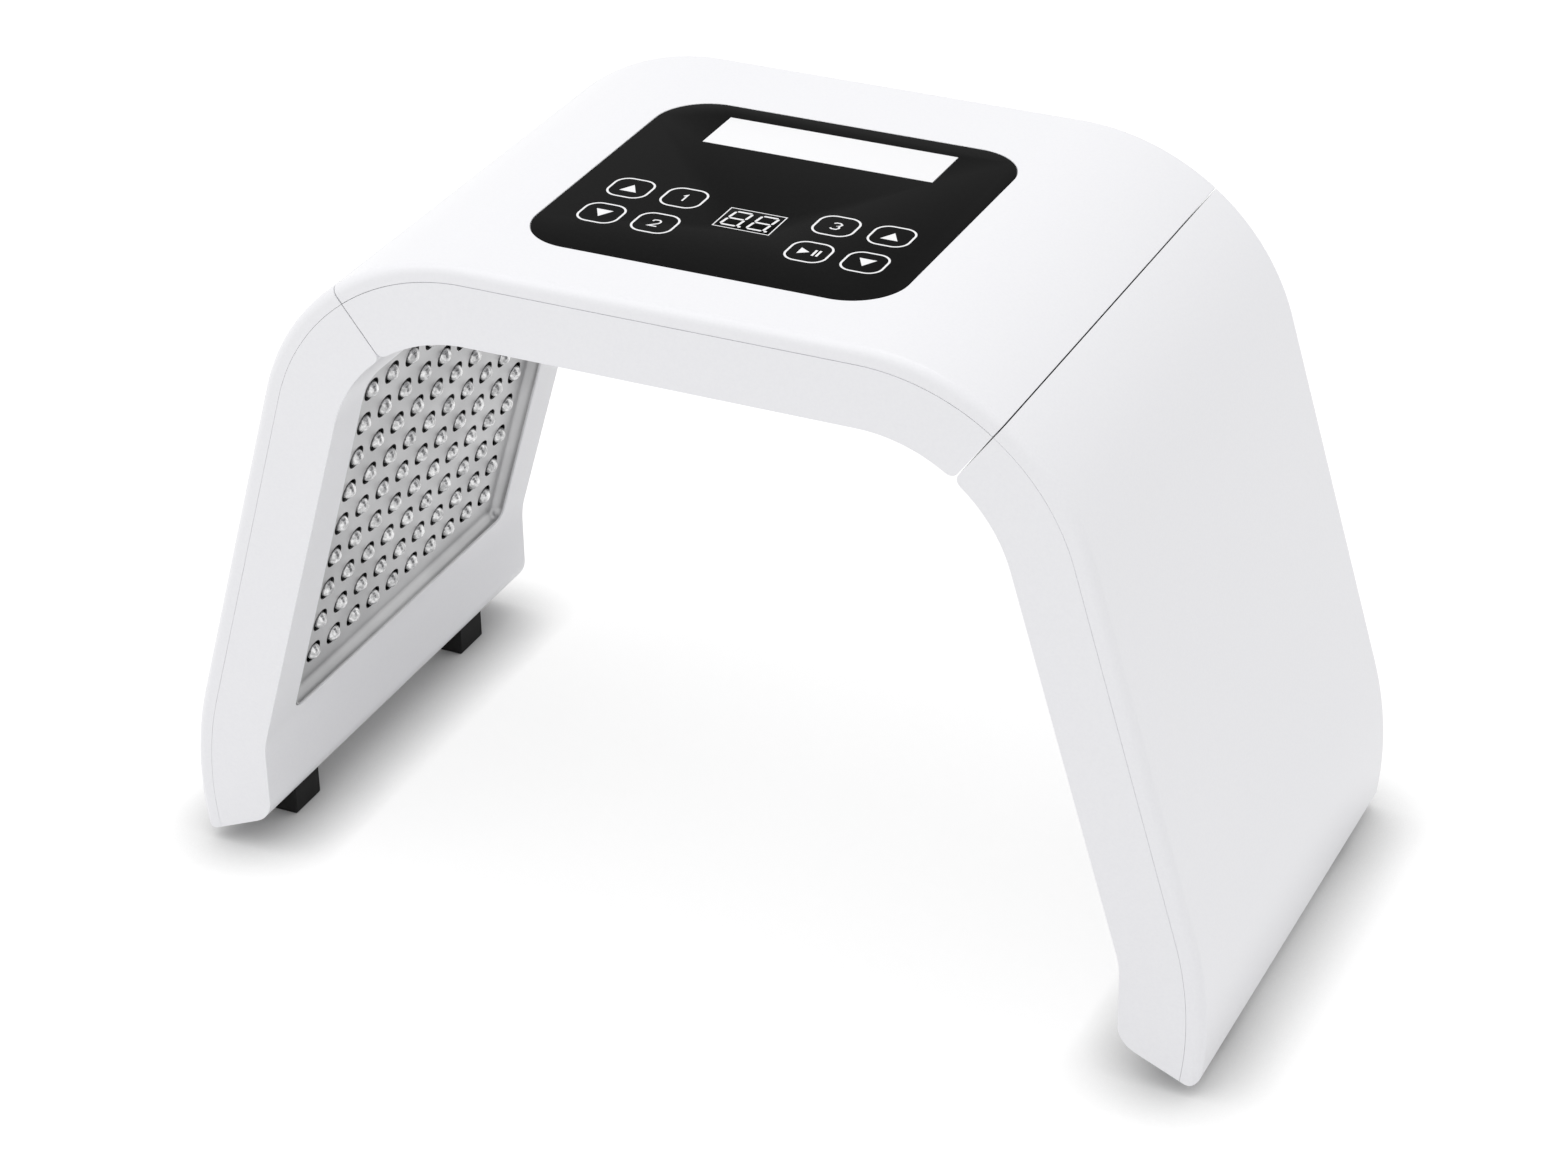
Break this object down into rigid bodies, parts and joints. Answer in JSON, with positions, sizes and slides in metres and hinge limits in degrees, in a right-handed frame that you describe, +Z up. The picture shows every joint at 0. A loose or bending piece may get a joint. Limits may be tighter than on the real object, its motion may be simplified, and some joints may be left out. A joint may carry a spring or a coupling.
{
  "type": "led light therapy cabin",
  "caption": "White folding arch for light therapy: a centre section with a flush black touch panel, two hinged wings lined with LED trays, and rubber feet.",
  "frame": {"origin": "on the floor, under the middle of the arch, halfway between its end faces", "axes": "+X along the arch's width to the right wing, -Y to the front end face, +Z up"},
  "size_m": [0.4612, 0.23, 0.302],
  "materials": {
    "white_shell": "smooth gloss",
    "panel_black": "smooth gloss",
    "label_white": "satin",
    "display_dark": "smooth dark",
    "film_clear": "satin",
    "reflector_silver": "satin",
    "board": "solder mask",
    "control_board_green": "solder mask",
    "rubber_black": "matt",
    "fitting_black": "fine matt",
    "steel": "zinc plated"
  },
  "bodies": {
    "centre_section": {"centre_cover": "white_shell", "centre_frame": "white_shell", "control_panel": "panel_black", "blank_label": "label_white", "display_module": "display_dark", "touch_film": "film_clear", "control_board": "control_board_green", "power_board": "control_board_green", "centre_led_board": "board", "centre_reflector": "reflector_silver", "power_inlet": "fitting_black", "power_switch_housing": "fitting_black", "centre_board_screw_1": "steel", "centre_board_screw_2": "steel", "centre_board_screw_3": "steel", "centre_board_screw_4": "steel", "left_hinge_centre_screw_1": "steel", "left_hinge_centre_screw_2": "steel", "left_hinge_centre_leaf": "steel", "left_hinge_pin": "steel", "right_hinge_centre_screw_1": "steel", "right_hinge_centre_screw_2": "steel", "right_hinge_centre_leaf": "steel", "right_hinge_pin": "steel"},
    "left_wing": {"left_wing_cover": "white_shell", "left_wing_frame": "white_shell", "left_wing_led_board": "board", "left_wing_reflector": "reflector_silver", "left_wing_board_screw_1": "steel", "left_wing_board_screw_2": "steel", "left_wing_board_screw_3": "steel", "left_wing_board_screw_4": "steel", "left_front_foot_screw": "steel", "left_rear_foot_screw": "steel", "left_front_foot": "rubber_black", "left_rear_foot": "rubber_black", "left_hinge_wing_screw_1": "steel", "left_hinge_wing_screw_2": "steel", "left_hinge_wing_leaf": "steel"},
    "right_wing": {"right_wing_cover": "white_shell", "right_wing_frame": "white_shell", "right_wing_led_board": "board", "right_wing_reflector": "reflector_silver", "right_wing_board_screw_1": "steel", "right_wing_board_screw_2": "steel", "right_wing_board_screw_3": "steel", "right_wing_board_screw_4": "steel", "right_front_foot_screw": "steel", "right_rear_foot_screw": "steel", "right_front_foot": "rubber_black", "right_rear_foot": "rubber_black", "right_hinge_wing_screw_1": "steel", "right_hinge_wing_screw_2": "steel", "right_hinge_wing_leaf": "steel"},
    "power_switch_rocker": {"power_switch_rocker": "fitting_black"}
  },
  "joints": [
    {"name": "left_wing_hinge", "type": "hinge", "parent": "centre_section", "child": "left_wing", "pos_m": [-0.1244, 0, 0.2572], "axis": [0, -1, 0], "range_deg": [0, 40]},
    {"name": "right_wing_hinge", "type": "hinge", "parent": "centre_section", "child": "right_wing", "pos_m": [0.1244, 0, 0.2572], "axis": [0, 1, 0], "range_deg": [0, 40]},
    {"name": "power_switch_rock", "type": "hinge", "parent": "centre_section", "child": "power_switch_rocker", "pos_m": [0.01, 0.1108, 0.283], "axis": [0, 0, 1], "range_deg": [0, 16]}
  ]
}
